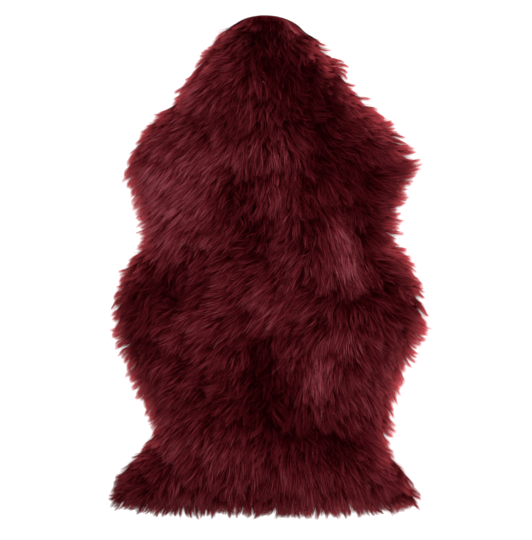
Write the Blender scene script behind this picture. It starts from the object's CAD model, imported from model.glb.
import math

import bmesh
import bpy
import numpy as np
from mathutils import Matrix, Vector, noise
from mathutils.bvhtree import BVHTree


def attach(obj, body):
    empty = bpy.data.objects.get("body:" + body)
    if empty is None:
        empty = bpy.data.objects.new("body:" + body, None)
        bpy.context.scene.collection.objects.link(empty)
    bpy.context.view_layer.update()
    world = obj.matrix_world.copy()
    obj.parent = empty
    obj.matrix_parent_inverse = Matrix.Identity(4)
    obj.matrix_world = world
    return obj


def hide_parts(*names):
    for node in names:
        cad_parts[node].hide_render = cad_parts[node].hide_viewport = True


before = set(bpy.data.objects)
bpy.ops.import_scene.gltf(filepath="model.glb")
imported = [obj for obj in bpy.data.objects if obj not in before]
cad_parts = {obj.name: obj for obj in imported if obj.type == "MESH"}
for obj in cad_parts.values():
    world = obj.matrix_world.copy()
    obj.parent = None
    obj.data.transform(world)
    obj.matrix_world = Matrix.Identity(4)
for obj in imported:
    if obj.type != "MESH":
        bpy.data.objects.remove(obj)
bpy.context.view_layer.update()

# A long-pile sheepskin rug lying flat: the hide, the dense underwool on it, and the long wool over both.
# Metres, +Z up, with the neck at +Y and the hem between the hind legs at -Y.
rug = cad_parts["sheepskin_rug"]
mm = 0.001

skin = {
    "thickness": 2.4 * mm,
    "middle": (-7.0 * mm, 1.9 * mm),  # where the centre line and the middle of the hide lie
    "neckRise": 46 * mm,
    "neckFade": 3,
    "hemBow": 13 * mm,
    "hemFade": 6,
    "hemSquareness": 8,
    "columns": 120,
    "rows": 192,
    # name, distance along the hide, its reach to the left and to the right, in millimetres
    "sections": [
        ("hind legs", -413, 257, 264),
        ("hocks", -370, 244, 245),
        ("thighs", -320, 199, 208),
        ("rear waist", -270, 182, 212),
        ("loin", -200, 217, 221),
        ("lower flanks", -140, 237, 252),
        ("flanks", -80, 251, 269),
        ("upper flanks", -45, 246, 265),
        ("ribs", 10, 225, 240),
        ("waist", 55, 199, 213),
        ("shoulders", 125, 208, 224),
        ("forelegs", 180, 227, 247),
        ("upper forelegs", 228, 210, 223),
        ("withers", 290, 151, 163),
        ("throat", 345, 112, 122),
        ("neck", 402, 68, 75),
    ],
}

underwool = {
    "floor": 2.7 * mm,  # it begins just above the hide
    "rimHeight": 3.4 * mm,
    "rimSink": 8 * mm,  # how far it stays under the tips at the rim, and then inside it
    "sink": 15 * mm,
    "sinkWidth": 60 * mm,
}

# The way the wool was brushed. Each stroke has its place in millimetres from the middle of the rug, and the
# direction in which the wool lies there, in degrees turned from +X towards +Y.
comb = {
    "reach": 24 * mm,
    "sway": 8,  # degrees that the wool strays over a hand's width, and over a finger's
    "swayLength": 48 * mm,
    "ruffle": 10,
    "ruffleLength": 17 * mm,
    "strokes": [
        ("crown of the neck", -8, 440, 235),
        ("crown of the neck", 30, 430, 300),
        ("crown of the neck", -12, 405, 285),
        ("crown of the neck", -30, 395, 240),
        ("crown of the neck", 25, 380, 300),
        ("left of the crown", -50, 425, 225),
        ("left of the crown", -65, 410, 205),
        ("left of the crown", -80, 400, 200),
        ("left of the crown", -95, 390, 200),
        ("right of the crown", 50, 415, 305),
        ("right of the crown", 70, 400, 305),
        ("right of the crown", 85, 390, 320),
        ("right of the crown", 105, 370, 345),
        ("left neck", -104, 372, 212),
        ("left neck", -150, 320, 217),
        ("left neck", -86, 280, 235),
        ("right neck", 129, 350, 350),
        ("right neck", 111, 316, 310),
        ("left shoulder", -165, 290, 205),
        ("left shoulder", -195, 260, 205),
        ("left shoulder", -230, 225, 210),
        ("left shoulder", -247, 190, 225),
        ("left shoulder", -158, 190, 230),
        ("left shoulder", -242, 118, 215),
        ("left shoulder", -140, 47, 230),
        ("right shoulder", 147, 280, 305),
        ("right shoulder", 165, 290, 345),
        ("right shoulder", 180, 270, 355),
        ("right shoulder", 210, 245, 5),
        ("right shoulder", 255, 190, 0),
        ("right shoulder", 201, 208, 305),
        ("right shoulder", 237, 118, 350),
        ("middle of the back", -5, 118, 265),
        ("middle of the back", 39, 29, 235),
        ("long lock", 105, 65, 295),
        ("long lock", 130, 60, 290),
        ("long lock", 120, 30, 285),
        ("long lock", 100, 20, 280),
        ("long lock", 138, 11, 275),
        ("left waist", -225, 40, 215),
        ("left waist", -194, 11, 250),
        ("left waist", -256, 0, 198),
        ("left waist", -50, 11, 215),
        ("left waist", -122, -61, 210),
        ("left waist", -274, -61, 225),
        ("right waist", 210, 50, 335),
        ("right waist", 220, 30, 340),
        ("right waist", 235, 5, 335),
        ("right waist", 183, -25, 305),
        ("right waist", 237, -61, 320),
        ("belly", 57, -61, 210),
        ("belly", 75, -115, 220),
        ("left flank", -250, -90, 230),
        ("left flank", -245, -120, 235),
        ("left flank", -265, -133, 225),
        ("left flank", -236, -230, 232),
        ("left flank", -122, -240, 215),
        ("left flank", -212, -290, 222),
        ("right flank", 275, -45, 335),
        ("right flank", 282, -100, 322),
        ("right flank", 183, -133, 300),
        ("right flank", 111, -151, 270),
        ("right flank", 237, -186, 312),
        ("right flank", 219, -294, 305),
        ("loin", 57, -204, 270),
        ("rump", 57, -312, 270),
        ("rump", -32, -312, 260),
        ("left thigh", -122, -312, 240),
        ("left thigh", -122, -384, 245),
        ("right thigh", 147, -312, 310),
        ("right hind leg", 201, -366, 310),
        ("right hind leg", 220, -350, 315),
        ("right hind leg", 245, -380, 315),
        ("right hind leg", 260, -400, 315),
        ("left hind leg", -230, -320, 215),
        ("left hind leg", -255, -370, 210),
        ("left hind leg", -285, -410, 215),
        ("left hind leg", -240, -425, 230),
        ("hem", -200, -441, 250),
        ("hem", -122, -450, 268),
        ("hem", -30, -448, 270),
        ("hem", 57, -402, 270),
        ("hem", 57, -446, 270),
        ("hem", 129, -402, 285),
        ("hem", 140, -446, 276),
        ("hem", 201, -446, 288),
        ("hem", 235, -430, 300),
    ],
}

# Where the wool parts or is pressed down and looks darker, and where it lies smooth and catches the light:
# place, half width and half length in millimetres, and from -1, an open parting, to 1, a smooth crest.
lie = {
    "partings": [
        ("crown of the neck", 15, 370, 50, 65, -0.85),
        ("crown of the neck", -20, 420, 25, 25, -0.6),
        ("hollow of the neck", -5, 420, 20, 15, -0.9),
        ("right of the neck", 90, 310, 65, 70, -0.8),
        ("right shoulder", 95, 210, 45, 80, -0.6),
        ("right shoulder", 160, 155, 40, 70, -0.65),
        ("left foreleg", -55, 260, 55, 25, -0.4),
        ("withers", 40, 280, 35, 30, -0.3),
        ("middle of the back", -50, 120, 30, 45, -0.8),
        ("middle of the back", -30, 50, 30, 35, -0.85),
        ("right of the back", 75, 105, 25, 55, -0.5),
        ("right waist", 175, 50, 20, 50, -0.5),
        ("left flank", -170, -40, 35, 50, -0.8),
        ("left flank", -235, -55, 45, 25, -0.5),
        ("left flank", -220, -125, 30, 40, -0.75),
        ("right flank", 185, -45, 75, 25, -0.7),
        ("right flank", 235, -70, 30, 40, -0.45),
        ("right flank", 170, -100, 20, 35, -0.4),
        ("loin", -10, -165, 35, 60, -0.9),
        ("loin", 0, -245, 50, 55, -0.95),
        ("left of the loin", -95, -215, 55, 65, -0.35),
        ("rump", 55, -295, 50, 25, -0.85),
        ("rump", 120, -315, 50, 35, -0.95),
        ("belly", 55, -110, 30, 20, -0.35),
        ("hem", -30, -405, 80, 20, -0.35),
        ("left hind leg", -220, -395, 45, 30, -0.35),
        ("right hind leg", 210, -400, 35, 25, -0.2),
    ],
    "crests": [
        ("crown of the neck", 40, 415, 15, 20, 0.6),
        ("left of the neck", -115, 370, 30, 55, 0.5),
        ("left foreleg", -145, 300, 45, 35, 0.45),
        ("left shoulder", -150, 145, 65, 70, 0.65),
        ("left shoulder", -215, 170, 45, 80, 0.3),
        ("left shoulder", -185, 70, 50, 55, 0.35),
        ("back", -65, 195, 70, 25, 0.3),
        ("back", 20, 205, 30, 25, 0.3),
        ("back", 15, 135, 15, 30, 0.35),
        ("long lock", 125, 60, 20, 30, 0.7),
        ("long lock", 140, 5, 25, 35, 1),
        ("belly", 25, -70, 50, 25, 0.3),
        ("left hip", -250, -185, 20, 30, 0.3),
        ("right hip", 195, -200, 25, 55, 0.25),
        ("left thigh", -120, -115, 35, 30, 0.35),
        ("right thigh", 90, -190, 25, 50, 0.7),
        ("right thigh", 95, -245, 20, 30, 0.3),
        ("right thigh", 140, -140, 40, 30, 0.3),
        ("right thigh", 150, -215, 15, 30, 0.35),
        ("rump", -95, -330, 45, 25, 0.45),
        ("rump", 30, -375, 65, 15, 0.25),
        ("right hind leg", 185, -350, 30, 30, 0.25),
    ],
    # where it is tousled, and how much
    "tousled": [
        ("neck", 21, 378, 60, 60, 0.8),
        ("left of the crown", -72, 404, 28, 28, 0.9),
        ("back", 39, 181, 65, 120, 0.9),
        ("left of the back", -45, 109, 30, 60, 0.7),
        ("belly", 70, -16, 30, 35, 0.6),
        ("loin", -23, -187, 60, 50, 0.7),
        ("right flank", 165, -79, 35, 35, 0.5),
    ],
}

wool = {
    "strands": 132000,
    "length": 52 * mm,
    "rimLength": 39 * mm,
    "width": 0.78 * mm,
    "lift": 17 * mm,  # how far a strand stands over the underwool, and then at the rim
    "rimLift": 9 * mm,
    "rimWidth": 40 * mm,
    "glowWidth": 30 * mm,
    "hemTrim": 5.5 * mm,  # how much shorter it is cut along the hem
    "neckTrim": 2 * mm,  # how far the tips reach over the edge at the neck
    "neckThickness": 2.5,  # how much denser it grows there, and then at the rim
    "rimThickness": 0.8,
    "shows": 16 * mm,  # how far from its root a strand is seen
    "rise": 3.5,  # how soon a strand stands up
    "highest": 25 * mm,
    "tuftSpacing": 24 * mm,
    "lockSpacing": 5.6 * mm,
    "rimSpacing": 4.8 * mm,
    "gather": 0.57,  # how close the strands of a lock come together at its tip, and then at the rim
    "rimGather": 0.95,
    "tuftTurn": 15,  # degrees that each strays from the comb
    "lockTurn": 8,
    "strandTurn": 7,
    "bend": 3.0 * mm,  # how far a strand bends aside at its tip
    "strays": 0.03,  # the share of strands that leave their lock where the wool is tousled, and how far
    "strayBend": 14 * mm,
    "wave": 2.7 * mm,
    "waveReach": 45 * mm,  # neighbours within it wave alike
    "lean": 35,  # degrees that a strand may be rolled about its own line
    "joints": 4,
    "floorGap": 0.6 * mm,
    "seed": 7,
    "regions": ["neck", "shoulders", "waist", "flanks", "hind_legs"],
}


def addNode(tree, kind, inputs=None, **settings):
    node = tree.nodes.new(kind)
    for name, value in settings.items():
        setattr(node, name, value)
    for socket, value in (inputs or {}).items():
        if isinstance(value, bpy.types.NodeSocket):
            tree.links.new(value, node.inputs[socket])
        else:
            node.inputs[socket].default_value = value
    return node


def linear(hexColour):
    parts = [int(hexColour[i : i + 2], 16) / 255 for i in (1, 3, 5)]
    return [p / 12.92 if p <= 0.04045 else ((p + 0.055) / 1.055) ** 2.4 for p in parts] + [1]


def linkNew(name, mesh):
    piece = bpy.data.objects.new(name, mesh)
    bpy.context.scene.collection.objects.link(piece)
    return piece


# The plan of the hide


def hideAt(along):
    rows = [(s[1] * mm, s[2] * mm, s[3] * mm) for s in skin["sections"]]
    i = next((k for k, row in enumerate(rows) if row[0] >= along), len(rows) - 1)
    i = max(i, 1)
    low, high = rows[i - 1], rows[i]
    before, after = rows[max(i - 2, 0)], rows[min(i + 1, len(rows) - 1)]
    gap = high[0] - low[0]
    t = min(max((along - low[0]) / gap, 0), 1)
    reach = []
    for c in (1, 2):
        slopeLow = (high[c] - before[c]) / (high[0] - before[0]) * gap
        slopeHigh = (after[c] - low[c]) / (after[0] - low[0]) * gap
        reach.append(
            low[c] * (2 * t**3 - 3 * t**2 + 1)
            + slopeLow * (t**3 - 2 * t**2 + t)
            + high[c] * (3 * t**2 - 2 * t**3)
            + slopeHigh * (t**3 - t**2)
        )
    return reach


def planPoint(across, station):
    first, last = skin["sections"][0][1] * mm, skin["sections"][-1][1] * mm
    along = first + (last - first) * station
    left, right = hideAt(along)
    arc = skin["neckRise"] * math.sqrt(max(0, 1 - across**2)) * station ** skin["neckFade"]
    bow = skin["hemBow"] * (1 - across ** skin["hemSquareness"]) * (1 - station) ** skin["hemFade"]
    x = across * (left if across < 0 else right)
    return x + skin["middle"][0], along + arc - bow + skin["middle"][1]


def layPlan():
    columns, rows = skin["columns"], skin["rows"]
    spread = np.sin(np.linspace(-math.pi / 2, math.pi / 2, columns + 1))
    even = np.linspace(-1, 1, columns + 1)
    across = 0.6 * even + 0.4 * spread  # the columns lie closer together at the edges
    stations = np.linspace(0, 1, rows + 1)
    return np.array([[planPoint(a, s) for a in across] for s in stations])


plan = layPlan()
edge = np.concatenate([plan[0], plan[1:, -1], plan[-1, -2::-1], plan[-2:0:-1, 0]])
flat = plan.reshape(-1, 2)
edgeDistance = np.array([np.hypot(*(edge - p).T).min() for p in flat])
print("hide laid out,", len(flat), "points")

# The heights and the lie of the wool, point by point

cadTree = BVHTree.FromPolygons([v.co for v in rug.data.vertices], [p.vertices for p in rug.data.polygons])


def topOfPile(x, y):
    hit = cadTree.ray_cast(Vector((x, y, 0.2)), Vector((0, 0, -1)))[0]
    return hit.z if hit else 0.0


def insideWidth(distance, width):
    t = np.clip(distance / width, 0, 1)
    return t * t * (3 - 2 * t)


def combAt(points, unrest):
    strokes = np.array([s[1:] for s in comb["strokes"]], float)
    places, headings = strokes[:, :2] * mm, np.radians(strokes[:, 2])
    away = ((points[:, None, :] - places) ** 2).sum(2)
    weight = 1 / (away + comb["reach"] ** 2) ** 2
    x = (weight * np.cos(headings)).sum(1)
    y = (weight * np.sin(headings)).sum(1)
    heading = np.arctan2(y, x)
    sway = [noise.noise(Vector((p[0], p[1], 0.3)) / comb["swayLength"]) for p in points]
    ruffle = [noise.noise(Vector((p[0], p[1], 0.9)) / comb["ruffleLength"]) for p in points]
    heading += np.radians(comb["sway"]) * np.array(sway) * 2
    heading += np.radians(comb["ruffle"]) * np.array(ruffle) * 2 * unrest
    return np.stack([np.cos(heading), np.sin(heading)], 1)


def spotsAt(points, spots):
    total = np.zeros(len(points))
    for _, x, y, wide, long, amount in spots:
        away = np.hypot((points[:, 0] / mm - x) / wide, (points[:, 1] / mm - y) / long)
        total += amount * np.exp(-(away**2))
    return total


inner = flat + (flat.mean(0) - flat) * 0.004
top = np.array([topOfPile(*p) for p in inner])
inside = insideWidth(edgeDistance, underwool["sinkWidth"])
sink = underwool["rimSink"] + (underwool["sink"] - underwool["rimSink"]) * inside
woolBase = np.maximum(top - sink, underwool["rimHeight"])
neckEdge = plan[-1, skin["columns"] * 3 // 10 : skin["columns"] * 9 // 10]
toNeck = np.array([neckEdge[np.hypot(*(neckEdge - p).T).argmin()] for p in flat]) - flat
neckDistance = np.maximum(np.hypot(*toNeck.T), 0.1 * mm)
shown = flat + combAt(flat, 0) * wool["shows"]
smoothness = spotsAt(shown, lie["partings"] + lie["crests"]) + 0.4 * (1 - insideWidth(neckDistance, 12 * mm))
smoothness = np.clip(smoothness, -1, 1)
unrest = np.where(smoothness > 0, 1 - 0.65 * smoothness, 1 - 2.0 * smoothness) + spotsAt(flat, lie["tousled"])
unrest = unrest * (0.4 + 0.6 * insideWidth(neckDistance, 30 * mm))
combing = combAt(flat, unrest)
rim = 1 - insideWidth(edgeDistance, wool["rimWidth"])
hem = insideWidth(-flat[:, 1] - 380 * mm, 50 * mm)
length = wool["rimLength"] * rim + wool["length"] * (1 - rim) - wool["hemTrim"] * hem
outward = (combing * toNeck).sum(1) / neckDistance
neckRoom = np.where(outward > 0.02, (neckDistance + wool["neckTrim"]) / np.maximum(outward, 0.3), 1.0)
onward = combAt(flat + combing * (length * 0.7)[:, None], unrest) - combing
reached = flat + combing * (length * 0.85)[:, None]
nearest = np.array([np.hypot(*(flat - p).T).argmin() for p in reached])
offEdge = np.hypot(*(flat[nearest] - reached).T) > 6 * mm
drop = np.where(offEdge, 0.0, woolBase[nearest]) - woolBase
lift = wool["rimLift"] * rim + wool["lift"] * (1 - rim)
lift = lift * (1 + 0.35 * smoothness) * np.clip(neckDistance / (25 * mm), 0.4, 1)
print("wool combed, rim drops", round(float(-drop.min()) * 1000), "mm")


def gridFaces(columns, rows):
    return [
        (r * (columns + 1) + c, r * (columns + 1) + c + 1, (r + 1) * (columns + 1) + c + 1, (r + 1) * (columns + 1) + c)
        for r in range(rows)
        for c in range(columns)
    ]


def slab(name, upper, lower, step=2):
    # a closed slab between two heights over the plan, from every second point
    columns, rows = skin["columns"] // step, skin["rows"] // step
    kept = np.arange(len(flat)).reshape(plan.shape[:2])[::step, ::step].ravel()
    count = len(kept)
    points = [(*flat[i], upper[i]) for i in kept] + [(*flat[i], lower[i]) for i in kept]
    faces = gridFaces(columns, rows)
    ring = [c for c in range(columns)] + [r * (columns + 1) + columns for r in range(rows)]
    ring += [rows * (columns + 1) + c for c in range(columns, 0, -1)] + [r * (columns + 1) for r in range(rows, 0, -1)]
    under = [tuple(count + v for v in reversed(face)) for face in faces]
    walls = [(ring[i - 1], count + ring[i - 1], count + ring[i], ring[i]) for i in range(len(ring))]
    mesh = bpy.data.meshes.new(name)
    mesh.from_pydata(points, [], faces + under + walls)
    shell = bmesh.new()
    shell.from_mesh(mesh)
    bmesh.ops.recalc_face_normals(shell, faces=shell.faces)
    shell.to_mesh(mesh)
    shell.free()
    mesh.shade_smooth()
    mesh.set_sharp_from_angle(angle=math.radians(50))
    nearEdge = mesh.attributes.new("edge", "FLOAT", "POINT")
    nearEdge.data.foreach_set("value", np.tile(1 - insideWidth(edgeDistance[kept], 8 * mm), 2).astype(np.float32))
    return linkNew(name, mesh)


def scalpMesh():
    # the surface that the wool grows from, with all that a strand has to know about its place
    mesh = bpy.data.meshes.new("scalp")
    points = [(x, y, z) for (x, y), z in zip(flat, woolBase)]
    mesh.from_pydata(points, [], gridFaces(skin["columns"], skin["rows"]))
    for name, numbers in {"comb": combing, "onward": onward}.items():
        layer = mesh.attributes.new(name, "FLOAT_VECTOR", "POINT")
        layer.data.foreach_set("vector", np.pad(numbers, ((0, 0), (0, 1))).ravel())
    hind = insideWidth(-flat[:, 1] - 270 * mm, 110 * mm) * (1 - 0.5 * insideWidth(flat[:, 0], 150 * mm))
    glow = 1 - insideWidth(edgeDistance, wool["glowWidth"] * (1 + 0.25 * insideWidth(flat[:, 0], 150 * mm)))
    glow = glow * (0.75 + 0.35 * insideWidth(flat[:, 0], 150 * mm)) * (1 - 0.9 * np.maximum(hem, hind))
    glow = glow * insideWidth(neckDistance, 14 * mm)
    crown = 1 - insideWidth(neckDistance, 8 * mm)
    values = {"pile": length, "lift": lift, "drop": drop, "rim": rim, "smooth": smoothness}
    thick = 1 + wool["neckThickness"] * (1 - insideWidth(neckDistance, 18 * mm)) + wool["rimThickness"] * rim
    values |= {"unrest": unrest, "neckRoom": neckRoom, "glow": glow, "thick": thick, "crown": crown}
    for name, numbers in values.items():
        layer = mesh.attributes.new(name, "FLOAT", "POINT")
        layer.data.foreach_set("value", np.asarray(numbers, np.float32))
    areas = np.array([p.area for p in mesh.polygons])
    grown = areas * np.array([thick[list(p.vertices)].mean() for p in mesh.polygons])
    middles = np.array([p.center.y for p in mesh.polygons])
    order = np.argsort(-middles)
    share = np.empty(len(areas))
    share[order] = np.cumsum(grown[order]) / grown.sum() * len(wool["regions"]) * 0.99999
    layer = mesh.attributes.new("region", "FLOAT", "FACE")
    layer.data.foreach_set("value", share.astype(np.float32))
    return linkNew("scalp", mesh), areas.sum(), wool["strands"] / grown.sum()


# The tree that grows the wool: lock centres, strands that bend towards their lock, flat tapering fibres.


def readAttribute(tree, name, kind="FLOAT"):
    return addNode(tree, "GeometryNodeInputNamedAttribute", {"Name": name}, data_type=kind).outputs[0]


def woolTree():
    tree = bpy.data.node_groups.new("long wool", "GeometryNodeTree")
    sockets = ["Strands per m2", "Strand width", "Rise", "Highest", "Tuft spacing", "Lock spacing", "Rim spacing", "Gather", "Rim gather"]
    sockets += ["Tuft turn", "Lock turn", "Strand turn", "Bend", "Strays", "Stray bend", "Wave", "Drift", "Lean", "Floor gap"]
    kinds = {"Scalp": "Geometry", **dict.fromkeys(sockets, "Float")}
    kinds |= {"Joints": "Int", "Region": "Int", "Seed": "Int", "Wool": "Material"}
    for name, kind in kinds.items():
        tree.interface.new_socket(name=name, in_out="INPUT", socket_type="NodeSocket" + kind)
    tree.interface.new_socket(name="Geometry", in_out="OUTPUT", socket_type="NodeSocketGeometry")
    given = addNode(tree, "NodeGroupInput").outputs
    up = (0, 0, 1)

    def calc(operation, a, b=0.0, c=0.0, clamp=False):
        return addNode(tree, "ShaderNodeMath", {0: a, 1: b, 2: c}, operation=operation, use_clamp=clamp).outputs[0]

    def times(a, *others):
        for other in others:
            a = calc("MULTIPLY", a, other)
        return a

    def added(a, b):
        return addNode(tree, "ShaderNodeVectorMath", {0: a, 1: b}, operation="ADD").outputs[0]

    def scaled(a, factor):
        return addNode(tree, "ShaderNodeVectorMath", {0: a, "Scale": factor}, operation="SCALE").outputs[0]

    def chance(low, high, seed):
        # the number sockets of this node come third and fourth, its whole-number seed last
        node = addNode(tree, "FunctionNodeRandomValue", {2: low, 3: high, 8: calc("ADD", given["Seed"], seed)})
        return node.outputs[1]

    def turned(direction, most, seed):
        angle = times(chance(-1.0, 1.0, seed), given[most], readAttribute(tree, "unrest"))
        return addNode(
            tree, "ShaderNodeVectorRotate", {"Vector": direction, "Angle": angle}, rotation_type="Z_AXIS"
        ).outputs[0]

    def mixed(share, a, b):
        # the vector sockets of this node come fifth and sixth
        return addNode(tree, "ShaderNodeMix", {0: share, 4: a, 5: b}, data_type="VECTOR").outputs[1]

    def keep(geometry, name, value, kind="FLOAT"):
        node = addNode(tree, "GeometryNodeStoreNamedAttribute", {0: geometry, "Name": name}, data_type=kind)
        tree.links.new(value, node.inputs["Value"])
        return node.outputs[0]

    def scattered(spacing, where=True):
        node = addNode(
            tree,
            "GeometryNodeDistributePointsOnFaces",
            {"Mesh": given["Scalp"], "Selection": where, "Distance Min": spacing, "Density Max": 90000.0, "Seed": given["Seed"]},
            distribute_method="POISSON",
        )
        return node.outputs["Points"]

    def fromNearest(points, value, kind="FLOAT"):
        index = addNode(tree, "GeometryNodeSampleNearest", {"Geometry": points, "Sample Position": place}).outputs[0]
        node = addNode(tree, "GeometryNodeSampleIndex", {"Geometry": points, "Index": index}, data_type=kind)
        tree.links.new(value, node.inputs["Value"])
        return node.outputs[0]

    place = addNode(tree, "GeometryNodeInputPosition").outputs[0]
    pile, lift, fall, room = (readAttribute(tree, n) for n in ("pile", "lift", "drop", "neckRoom"))

    # tufts as wide as a finger or two, each with its own turn, length and height
    tufts = scattered(given["Tuft spacing"])
    tuftComb = turned(readAttribute(tree, "comb", "FLOAT_VECTOR"), "Tuft turn", 1)
    tufts = keep(tufts, "tuftComb", tuftComb, "FLOAT_VECTOR")
    even = calc("MULTIPLY_ADD", readAttribute(tree, "rim"), -0.5, 1.0)
    tufts = keep(tufts, "tuftLength", calc("MULTIPLY_ADD", chance(-0.18, 0.12, 2), even, 1.0))
    ruffled = calc("MINIMUM", readAttribute(tree, "unrest"), 1.4)
    tufts = keep(tufts, "tuftRise", calc("MULTIPLY_ADD", chance(-0.4, 0.4, 3), ruffled, 0.9))
    tufts = keep(tufts, "tuftChance", chance(0.0, 1.0, 4))

    # locks within the tufts: each takes its comb half from its own place and half from its tuft
    nearRim = calc("GREATER_THAN", readAttribute(tree, "rim"), 0.35)
    inside = calc("SUBTRACT", 1.0, nearRim)
    locks = addNode(tree, "GeometryNodeJoinGeometry").outputs[0]
    for source in (scattered(given["Lock spacing"], inside), scattered(given["Rim spacing"], nearRim)):
        tree.links.new(source, locks.node.inputs[0])
    tuftComb = fromNearest(tufts, readAttribute(tree, "tuftComb", "FLOAT_VECTOR"), "FLOAT_VECTOR")
    lockComb = added(scaled(readAttribute(tree, "comb", "FLOAT_VECTOR"), 0.5), scaled(tuftComb, 0.5))
    lockComb = turned(lockComb, "Lock turn", 11)
    tuftLength, tuftRise = (fromNearest(tufts, readAttribute(tree, n)) for n in ("tuftLength", "tuftRise"))
    uneven = calc("MULTIPLY_ADD", readAttribute(tree, "rim"), -0.1, 1.0)
    lockLength = times(pile, tuftLength, calc("MULTIPLY_ADD", chance(-0.22, 0.12, 12), uneven, 1.0))
    lockLength = calc("MINIMUM", lockLength, room)
    locks = keep(locks, "lockComb", lockComb, "FLOAT_VECTOR")
    locks = keep(locks, "lockLength", lockLength)
    locks = keep(locks, "lockRise", times(lift, tuftRise, chance(0.7, 1.2, 13)))
    locks = keep(locks, "lockForward", added(scaled(lockComb, lockLength), scaled(up, fall)), "FLOAT_VECTOR")
    curve = scaled(readAttribute(tree, "onward", "FLOAT_VECTOR"), times(lockLength, 0.5))
    locks = keep(locks, "lockCurve", curve, "FLOAT_VECTOR")
    locks = keep(locks, "lockRoot", place, "FLOAT_VECTOR")
    locks = keep(locks, "tuftChance", fromNearest(tufts, readAttribute(tree, "tuftChance")))
    locks = keep(locks, "lockChance", chance(0.0, 1.0, 14))
    drift = addNode(tree, "ShaderNodeTexNoise", {"Vector": place, "Scale": given["Drift"], "Detail": 0.0}).outputs[0]
    phase = calc("MULTIPLY_ADD", drift, 16.0, chance(0.0, 1.2, 15))
    locks = keep(locks, "lockPhase", phase)

    # strands, which know what their lock does
    density = times(given["Strands per m2"], readAttribute(tree, "thick"))
    inRegion = calc("COMPARE", calc("FLOOR", readAttribute(tree, "region")), given["Region"], 0.1)
    strands = addNode(
        tree,
        "GeometryNodeDistributePointsOnFaces",
        {"Mesh": given["Scalp"], "Selection": inRegion, "Density": density, "Seed": given["Seed"]},
        distribute_method="RANDOM",
    ).outputs["Points"]
    for name in ("lockComb", "lockForward", "lockCurve", "lockRoot"):
        value = fromNearest(locks, readAttribute(tree, name, "FLOAT_VECTOR"), "FLOAT_VECTOR")
        strands = keep(strands, name, value, "FLOAT_VECTOR")
    for name in ("lockLength", "lockRise", "tuftChance", "lockChance", "lockPhase"):
        strands = keep(strands, name, fromNearest(locks, readAttribute(tree, name)))
    ownComb = turned(readAttribute(tree, "lockComb", "FLOAT_VECTOR"), "Strand turn", 21)
    ownShare = calc("MULTIPLY_ADD", chance(-0.45, 0.12, 22), even, 1.0)
    ownLength = calc("MINIMUM", times(readAttribute(tree, "lockLength"), ownShare), room)
    side = addNode(tree, "ShaderNodeVectorMath", {0: ownComb, 1: up}, operation="CROSS_PRODUCT").outputs[0]
    roll = times(chance(-1.0, 1.0, 24), given["Lean"])
    edgeways = added(scaled(side, calc("COSINE", roll)), scaled(up, calc("SINE", roll)))
    strands = keep(strands, "root", place, "FLOAT_VECTOR")
    strands = keep(strands, "ownForward", added(scaled(ownComb, ownLength), scaled(up, fall)), "FLOAT_VECTOR")
    ownRise = times(readAttribute(tree, "lockRise"), chance(0.45, 1.15, 23))
    strands = keep(strands, "ownRise", calc("MINIMUM", ownRise, given["Highest"]))
    strands = keep(strands, "side", side, "FLOAT_VECTOR")
    strands = keep(strands, "edgeways", edgeways, "FLOAT_VECTOR")
    lockBend = calc("COSINE", calc("MULTIPLY", readAttribute(tree, "lockPhase"), 1.7))
    strands = keep(strands, "bending", calc("ADD", lockBend, chance(-0.6, 0.6, 25)))
    strands = keep(strands, "strandChance", chance(0.0, 1.0, 26))
    loose = calc("MULTIPLY_ADD", readAttribute(tree, "rim"), 0.5, readAttribute(tree, "unrest"))
    likely = times(given["Strays"], calc("SUBTRACT", loose, 0.7, clamp=True))
    strands = keep(strands, "stray", calc("LESS_THAN", chance(0.0, 1.0, 27), likely))
    strands = keep(strands, "closeness", chance(0.5, 1.0, 29))
    strands = keep(strands, "strayBend", times(chance(-1.0, 1.0, 28), given["Stray bend"]))
    strands = keep(strands, "strand", addNode(tree, "GeometryNodeInputIndex").outputs[0])

    # one flat fibre, stored as how far along and across it each point is
    rungs = calc("ADD", given["Joints"], 1.0)
    fibre = addNode(
        tree, "GeometryNodeMeshGrid", {"Size X": 1.0, "Size Y": 1.0, "Vertices X": 2, "Vertices Y": rungs}
    ).outputs["Mesh"]
    spot = addNode(tree, "ShaderNodeSeparateXYZ", {0: place}).outputs
    fibre = keep(fibre, "across", spot["X"])
    fibre = keep(fibre, "along", calc("POWER", calc("ADD", spot["Y"], 0.5), 0.85))
    atTip = calc("GREATER_THAN", spot["Y"], 0.49)
    fibre = addNode(tree, "GeometryNodeMergeByDistance", {0: fibre, "Selection": atTip, "Distance": 2.0}).outputs[0]
    planted = addNode(tree, "GeometryNodeInstanceOnPoints", {"Points": strands, "Instance": fibre}).outputs[0]
    realized = addNode(tree, "GeometryNodeRealizeInstances", {0: planted}).outputs[0]

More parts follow.
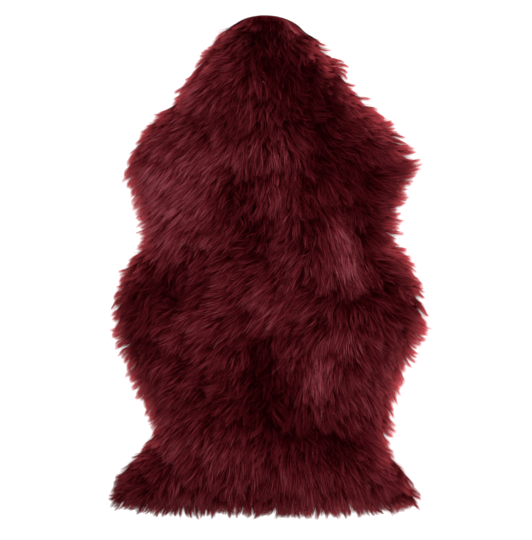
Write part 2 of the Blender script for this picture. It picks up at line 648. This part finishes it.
    # the line of a strand: it rises, turns over and lies along the comb, and closes in on its lock
    along, across, atRim = (readAttribute(tree, name) for name in ("along", "across", "rim"))
    root, lockRoot, ownForward, lockForward = (
        readAttribute(tree, name, "FLOAT_VECTOR") for name in ("root", "lockRoot", "ownForward", "lockForward")
    )
    gathered = calc("MULTIPLY_ADD", calc("SUBTRACT", given["Rim gather"], given["Gather"]), atRim, given["Gather"])
    gathered = times(gathered, calc("MULTIPLY_ADD", readAttribute(tree, "unrest"), 0.65, 0.35))
    gathered = times(gathered, readAttribute(tree, "closeness"), calc("SUBTRACT", 1.0, readAttribute(tree, "stray")))
    sooner = calc("MULTIPLY_ADD", atRim, -0.5, 1.4)
    closing = times(gathered, calc("SMOOTH_MIN", times(along, sooner), 1.0, 0.3))
    closing = calc("MINIMUM", closing, 0.85)
    standing = calc("SUBTRACT", 1.0, calc("POWER", calc("SUBTRACT", 1.0, along), given["Rise"]))
    sagging = times(calc("POWER", along, 2.0), 0.3)
    droop = calc("SUBTRACT", 1.0, times(atRim, calc("POWER", along, 1.2)))
    height = times(calc("SUBTRACT", standing, sagging), droop, readAttribute(tree, "ownRise"))
    line = added(mixed(closing, root, lockRoot), scaled(mixed(closing, ownForward, lockForward), calc("POWER", along, 1.2)))
    line = added(line, scaled(readAttribute(tree, "lockCurve", "FLOAT_VECTOR"), calc("POWER", along, 2.0)))
    line = added(line, scaled(up, height))
    swing = times(calc("SINE", calc("MULTIPLY_ADD", along, 5.5, readAttribute(tree, "lockPhase"))), along)
    swing = times(swing, given["Wave"], readAttribute(tree, "unrest"))
    swing = calc("ADD", swing, times(readAttribute(tree, "bending"), given["Bend"], calc("POWER", along, 2.0)))
    astray = times(readAttribute(tree, "stray"), readAttribute(tree, "strayBend"), calc("POWER", along, 2.0))
    swing = calc("ADD", swing, astray)
    line = added(line, scaled(readAttribute(tree, "side", "FLOAT_VECTOR"), swing))
    taper = calc("SUBTRACT", 1.0, times(calc("POWER", along, 2.4), 0.93))
    line = added(line, scaled(readAttribute(tree, "edgeways", "FLOAT_VECTOR"), times(across, given["Strand width"], taper)))
    lowest = calc("MULTIPLY_ADD", readAttribute(tree, "strandChance"), 0.002, given["Floor gap"])
    parts = addNode(tree, "ShaderNodeSeparateXYZ", {0: line}).outputs
    kept = addNode(tree, "ShaderNodeCombineXYZ", {0: parts[0], 1: parts[1], 2: calc("MAXIMUM", parts[2], lowest)})
    laid = addNode(tree, "GeometryNodeSetPosition", {"Geometry": realized, "Position": kept.outputs[0]}).outputs[0]
    smooth = addNode(tree, "GeometryNodeSetShadeSmooth", {0: laid}).outputs[0]
    dyed = addNode(tree, "GeometryNodeSetMaterial", {"Geometry": smooth, "Material": given["Wool"]}).outputs[0]
    addNode(tree, "NodeGroupOutput", {0: dyed})
    return tree


def growWool(tree, scalp, strandsPerArea, region, name, material):
    modifier = scalp.modifiers.new("wool", "NODES")
    modifier.node_group = tree
    values = {
        "Strands per m2": strandsPerArea,
        "Strand width": wool["width"],
        "Rise": wool["rise"],
        "Highest": wool["highest"],
        "Tuft spacing": wool["tuftSpacing"],
        "Lock spacing": wool["lockSpacing"],
        "Rim spacing": wool["rimSpacing"],
        "Gather": wool["gather"],
        "Rim gather": wool["rimGather"],
        "Tuft turn": math.radians(wool["tuftTurn"]),
        "Lock turn": math.radians(wool["lockTurn"]),
        "Strand turn": math.radians(wool["strandTurn"]),
        "Bend": wool["bend"],
        "Strays": wool["strays"],
        "Stray bend": wool["strayBend"],
        "Wave": wool["wave"],
        "Drift": 1 / wool["waveReach"],
        "Lean": math.radians(wool["lean"]),
        "Joints": wool["joints"],
        "Floor gap": wool["floorGap"],
        "Region": region,
        "Seed": wool["seed"],
        "Wool": material,
    }
    for item in tree.interface.items_tree:
        if item.item_type == "SOCKET" and item.in_out == "INPUT" and item.name in values:
            modifier[item.identifier] = values[item.name]
    scalp.update_tag()
    ready = scalp.evaluated_get(bpy.context.evaluated_depsgraph_get())
    mesh = bpy.data.meshes.new_from_object(ready)
    mesh.name = name
    scalp.modifiers.remove(modifier)
    layBakeMap(mesh)
    used = ["along", "tuftChance", "lockChance", "strandChance", "smooth", "glow", "crown", "stray"]
    for layer in [a.name for a in mesh.attributes if a.data_type in ("FLOAT", "FLOAT_VECTOR")]:
        if layer not in used + ["position"]:
            mesh.attributes.remove(mesh.attributes[layer])
    return linkNew(name, mesh)


def layBakeMap(mesh):
    # every fibre has a narrow box of its own on the map, as long as the fibre is
    loops = len(mesh.loops)
    vertexOf = np.empty(loops, np.int32)
    mesh.loops.foreach_get("vertex_index", vertexOf)
    numbers = {}
    for name in ("along", "across", "strand"):
        values = np.empty(len(mesh.vertices), np.float32)
        mesh.attributes[name].data.foreach_get("value", values)
        numbers[name] = values[vertexOf]
    count = int(numbers["strand"].max()) + 1
    columns = math.ceil(math.sqrt(count * 4))
    rows = math.ceil(count / columns)
    row, column = np.divmod(numbers["strand"], columns)
    u = (column + 0.5 + numbers["across"] * 0.7) / columns
    v = (row + 0.1 + numbers["along"] * 0.8) / rows
    layer = mesh.uv_layers.new(name="OFBake")
    layer.data.foreach_set("uv", np.stack([u, v], 1).astype(np.float32).ravel())


# The materials


def newMaterial(name):
    material = bpy.data.materials.new(name)
    material.use_nodes = True
    tree = material.node_tree
    return material, tree, tree.nodes["Principled BSDF"]


def dyedWool():
    # dyed wool, brushed: silky, with the light running along the strands, deep red between them
    # and paler where thin tips let the light through
    material, tree, shader = newMaterial("dyed wool, brushed")
    names = ["along", "tuftChance", "lockChance", "strandChance", "smooth", "glow", "crown", "stray"]
    values = {n: addNode(tree, "ShaderNodeAttribute", attribute_name=n).outputs["Fac"] for n in names}

    def calc(operation, a, b=0.0, c=0.0, clamp=False):
        return addNode(tree, "ShaderNodeMath", {0: a, 1: b, 2: c}, operation=operation, use_clamp=clamp).outputs[0]

    tone = addNode(
        tree,
        "ShaderNodeMapRange",
        {"Value": values["along"], "From Min": 0.05, "From Max": 0.8, "To Min": 0.0, "To Max": 0.5},
        interpolation_type="SMOOTHSTEP",
    ).outputs[0]
    tone = calc("MULTIPLY_ADD", values["smooth"], 0.34, tone)
    uneven = calc("MULTIPLY", values["tuftChance"], 0.1)
    uneven = calc("MULTIPLY_ADD", values["lockChance"], 0.16, uneven)
    uneven = calc("MULTIPLY_ADD", calc("POWER", values["strandChance"], 1.2), 0.52, uneven)
    calm = calc("MULTIPLY", values["smooth"], 0.4, clamp=True)
    # on a smooth crest every strand comes nearer to their common tone
    tone = calc("ADD", tone, calc("MULTIPLY_ADD", calc("SUBTRACT", 0.36, uneven), calm, uneven))
    tone = calc("MULTIPLY_ADD", values["stray"], 0.12, tone)
    tone = calc("MULTIPLY_ADD", calc("SUBTRACT", 1.0, values["along"]), calc("MULTIPLY", values["crown"], 0.42), tone)
    tone = calc("SUBTRACT", tone, 0.27, clamp=True)
    ramp = addNode(tree, "ShaderNodeValToRGB", {0: tone})
    colours = [(0.0, "#1a0002"), (0.2, "#2c0206"), (0.4, "#43060b"), (0.6, "#5b111a"), (0.8, "#782731"), (1.0, "#a0505a")]
    band = ramp.color_ramp
    while len(band.elements) < len(colours):
        band.elements.new(0.5)
    for element, (at, colour) in zip(band.elements, colours):
        element.position, element.color = at, linear(colour)
    lit = calc("MULTIPLY", calc("POWER", values["along"], 2.6), values["glow"], clamp=True)
    mix = addNode(tree, "ShaderNodeMix", {0: lit, 6: ramp.outputs[0], 7: linear("#ec5661")}, data_type="RGBA")
    tree.links.new(mix.outputs[2], shader.inputs["Base Color"])
    shine = addNode(tree, "ShaderNodeMapRange", {"Value": tone, "From Min": 0.12, "From Max": 0.85, "To Max": 0.36})
    tree.links.new(shine.outputs[0], shader.inputs["Specular IOR Level"])
    shader.inputs["Roughness"].default_value = 0.42
    shader.inputs["IOR"].default_value = 1.55
    shader.inputs["Specular Tint"].default_value = linear("#c8626d")
    return material


def denseUnderwool():
    # crimped underwool, felted close to the hide: no shine, nearly black in the depth of the pile, redder
    # along the edge, where the light reaches it
    material, tree, shader = newMaterial("crimped underwool")
    where = addNode(tree, "ShaderNodeTexCoord").outputs["Object"]
    crimp = addNode(tree, "ShaderNodeTexNoise", {"Vector": where, "Scale": 420.0, "Detail": 3.0, "Roughness": 0.7})
    ramp = addNode(tree, "ShaderNodeValToRGB", {0: crimp.outputs[0]})
    band = ramp.color_ramp
    band.elements[0].position, band.elements[0].color = 0.3, linear("#1e0103")
    band.elements[1].position, band.elements[1].color = 0.75, linear("#3a070d")
    rimLight = addNode(tree, "ShaderNodeAttribute", attribute_name="edge").outputs["Fac"]
    mix = addNode(tree, "ShaderNodeMix", {0: rimLight, 6: ramp.outputs[0], 7: linear("#64151f")}, data_type="RGBA")
    tree.links.new(mix.outputs[2], shader.inputs["Base Color"])
    bump = addNode(tree, "ShaderNodeBump", {"Height": crimp.outputs[0], "Strength": 0.6, "Distance": 0.002})
    tree.links.new(bump.outputs[0], shader.inputs["Normal"])
    shader.inputs["Roughness"].default_value = 0.9
    shader.inputs["Specular IOR Level"].default_value = 0.02
    return material


def suede():
    # the flesh side of the hide, buffed to suede and dyed through: matt, with a short nap in soft patches
    material, tree, shader = newMaterial("suede, dyed through")
    where = addNode(tree, "ShaderNodeTexCoord").outputs["Object"]
    nap = addNode(tree, "ShaderNodeTexNoise", {"Vector": where, "Scale": 900.0, "Detail": 2.0})
    patches = addNode(tree, "ShaderNodeTexNoise", {"Vector": where, "Scale": 18.0, "Detail": 4.0})
    both = addNode(tree, "ShaderNodeMath", {0: nap.outputs[0], 1: 0.35, 2: patches.outputs[0]}, operation="MULTIPLY_ADD")
    ramp = addNode(tree, "ShaderNodeValToRGB", {0: both.outputs[0]})
    band = ramp.color_ramp
    band.elements[0].position, band.elements[0].color = 0.45, linear("#5b2a2c")
    band.elements[1].position, band.elements[1].color = 0.9, linear("#7d4442")
    tree.links.new(ramp.outputs[0], shader.inputs["Base Color"])
    bump = addNode(tree, "ShaderNodeBump", {"Height": nap.outputs[0], "Strength": 0.4, "Distance": 0.0005})
    tree.links.new(bump.outputs[0], shader.inputs["Normal"])
    shader.inputs["Roughness"].default_value = 0.92
    shader.inputs["Sheen Weight"].default_value = 0.3
    return material


hide = slab("hide", np.full(len(flat), skin["thickness"]), np.zeros(len(flat)))
hide.data.materials.append(suede())
undercoat = slab("underwool", woolBase, np.full(len(flat), underwool["floor"]))
undercoat.data.materials.append(denseUnderwool())
print("hide and underwool made")

woolMaterial = dyedWool()
scalp, hideArea, strandsPerArea = scalpMesh()
growing = woolTree()
fleece = []
for region, name in enumerate(wool["regions"]):
    fleece.append(growWool(growing, scalp, strandsPerArea, region, "wool_" + name, woolMaterial))
    print("wool grown on", name, len(fleece[-1].data.polygons), "faces")
bpy.data.objects.remove(scalp)

for piece in [hide, undercoat] + fleece:
    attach(piece, "root")
    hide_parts("sheepskin_rug")

# The studio: a white sweep, a large soft light from the upper left, a weaker one from the right, a pale room
studio = {
    "lens": 70,
    "height": 1.889,
    "centre": (-3.6 * mm, -7.2 * mm),
    "key": ("key", (-0.8, 0.9, 2.3), 2.2, 30.0),
    "fill": ("fill", (1.3, -0.5, 1.9), 1.8, 14.0),
    "room": "#f6f4f4",
    "roomStrength": 0.95,
    "floor": "#fbfbfb",
}


def softLight(name, place, size, power):
    lamp = bpy.data.lights.new(name, "AREA")
    lamp.shape = "DISK"
    lamp.size, lamp.energy = size, power
    light = bpy.data.objects.new(name, lamp)
    light.location = place
    light.rotation_euler = (Vector((0, 0, 0)) - Vector(place)).to_track_quat("-Z", "Y").to_euler()
    bpy.context.scene.collection.objects.link(light)


softLight(*studio["key"])
softLight(*studio["fill"])
world = bpy.data.worlds.new("pale room")
world.use_nodes = True
world.node_tree.nodes["Background"].inputs[0].default_value = linear(studio["room"])
world.node_tree.nodes["Background"].inputs[1].default_value = studio["roomStrength"]
bpy.context.scene.world = world
bpy.context.scene.view_settings.view_transform = "Standard"

sweepMesh = bpy.data.meshes.new("sweep")
sweepMesh.from_pydata([(-3, -3, 0), (3, -3, 0), (3, 3, 0), (-3, 3, 0)], [], [(0, 1, 2, 3)])
sweep = linkNew("sweep", sweepMesh)
paper, paperTree, paperShader = newMaterial("matt white paper")
paperShader.inputs["Base Color"].default_value = linear(studio["floor"])
paperShader.inputs["Roughness"].default_value = 0.9
sweep.data.materials.append(paper)

lens = bpy.data.cameras.new("overhead")
lens.lens, lens.sensor_width = studio["lens"], 36
camera = bpy.data.objects.new("overhead", lens)
camera.location = (*studio["centre"], studio["height"])
bpy.context.scene.collection.objects.link(camera)
bpy.context.scene.camera = camera
print("studio set")
